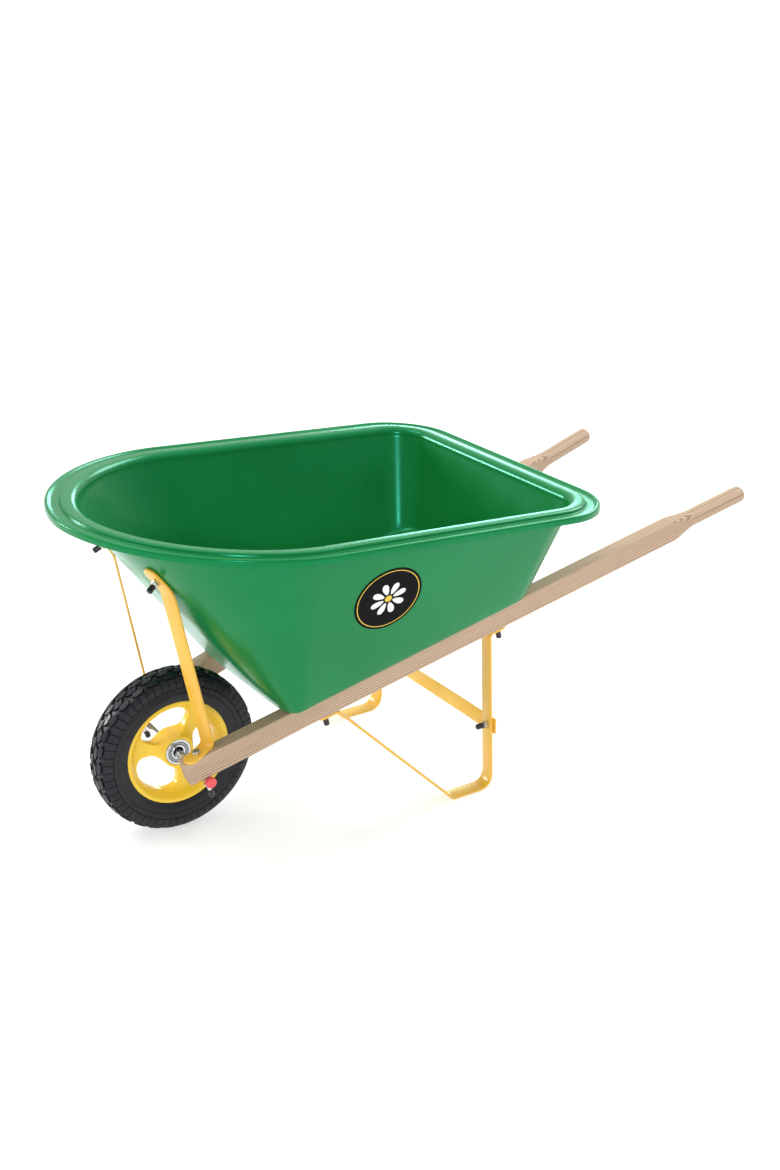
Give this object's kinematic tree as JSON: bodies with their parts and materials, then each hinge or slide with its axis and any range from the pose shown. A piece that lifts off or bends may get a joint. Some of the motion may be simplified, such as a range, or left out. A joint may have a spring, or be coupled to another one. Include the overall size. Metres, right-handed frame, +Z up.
{
  "type": "wheelbarrow",
  "caption": "Small one-wheel wheelbarrow with a moulded tub on two splayed wooden handles, strap-steel legs and front braces, and a solid tyre.",
  "frame": {"origin": "middle of the footprint on the ground", "axes": "+Y from the wheel to the grips, +X to the operator's left hand, +Z up"},
  "size_m": [0.5696, 1.0918, 0.5152],
  "materials": {
    "green_poly": "glossy moulded polyethylene",
    "ash_wood": "bare sanded wood with fine grain",
    "yellow_paint": "semi-gloss powder coat",
    "yellow_plastic": "moulded, semi-gloss",
    "tyre_rubber": "matte moulded rubber",
    "zinc_plate": "bright zinc plating",
    "bearing_steel": "ground steel",
    "black_steel": "black oxide",
    "black_seal": "smooth seal",
    "red_plastic": "soft moulded cap",
    "black_vinyl": "dipped vinyl",
    "label_print": "printed vinyl label"
  },
  "bodies": {
    "frame": {"axle": "zinc_plate", "axle_bolt_cap_left": "black_vinyl", "axle_bolt_cap_right": "black_vinyl", "axle_bolt_left": "zinc_plate", "axle_bolt_right": "zinc_plate", "axle_cap_left": "red_plastic", "axle_cap_right": "red_plastic", "axle_nut_left": "zinc_plate", "axle_nut_right": "zinc_plate", "bearing_inner_left": "bearing_steel", "bearing_inner_right": "bearing_steel", "brace_bolt_cap_left": "black_vinyl", "brace_bolt_cap_right": "black_vinyl", "brace_bolt_left": "zinc_plate", "brace_bolt_right": "zinc_plate", "brace_nut_left": "zinc_plate", "brace_nut_right": "zinc_plate", "cross_brace_bolt_cap_left": "black_vinyl", "cross_brace_bolt_cap_right": "black_vinyl", "cross_brace_bolt_left": "zinc_plate", "cross_brace_bolt_right": "zinc_plate", "cross_brace_nut_left": "zinc_plate", "cross_brace_nut_right": "zinc_plate", "decal_left": "label_print", "decal_right": "label_print", "front_brace_left": "yellow_paint", "front_brace_right": "yellow_paint", "handle_left": "ash_wood", "handle_right": "ash_wood", "leg_cross_brace": "yellow_paint", "leg_front_bolt_cap_left": "black_vinyl", "leg_front_bolt_cap_right": "black_vinyl", "leg_front_bolt_left": "zinc_plate", "leg_front_bolt_right": "zinc_plate", "leg_front_nut_left": "black_steel", "leg_front_nut_right": "black_steel", "leg_left": "yellow_paint", "leg_rear_bolt_cap_left": "black_vinyl", "leg_rear_bolt_cap_right": "black_vinyl", "leg_rear_bolt_left": "zinc_plate", "leg_rear_bolt_right": "zinc_plate", "leg_rear_nut_left": "black_steel", "leg_rear_nut_right": "black_steel", "leg_right": "yellow_paint", "tray": "green_poly"},
    "wheel": {"bearing_outer_left": "bearing_steel", "bearing_outer_right": "bearing_steel", "bearing_seal_left": "black_seal", "bearing_seal_right": "black_seal", "tyre": "tyre_rubber", "wheel_rim": "yellow_plastic"}
  },
  "joints": [
    {"name": "wheel_spin", "type": "hinge", "parent": "frame", "child": "wheel", "pos_m": [0, -0.39761, 0.127], "axis": [1, 0, 0], "continuous": true}
  ]
}
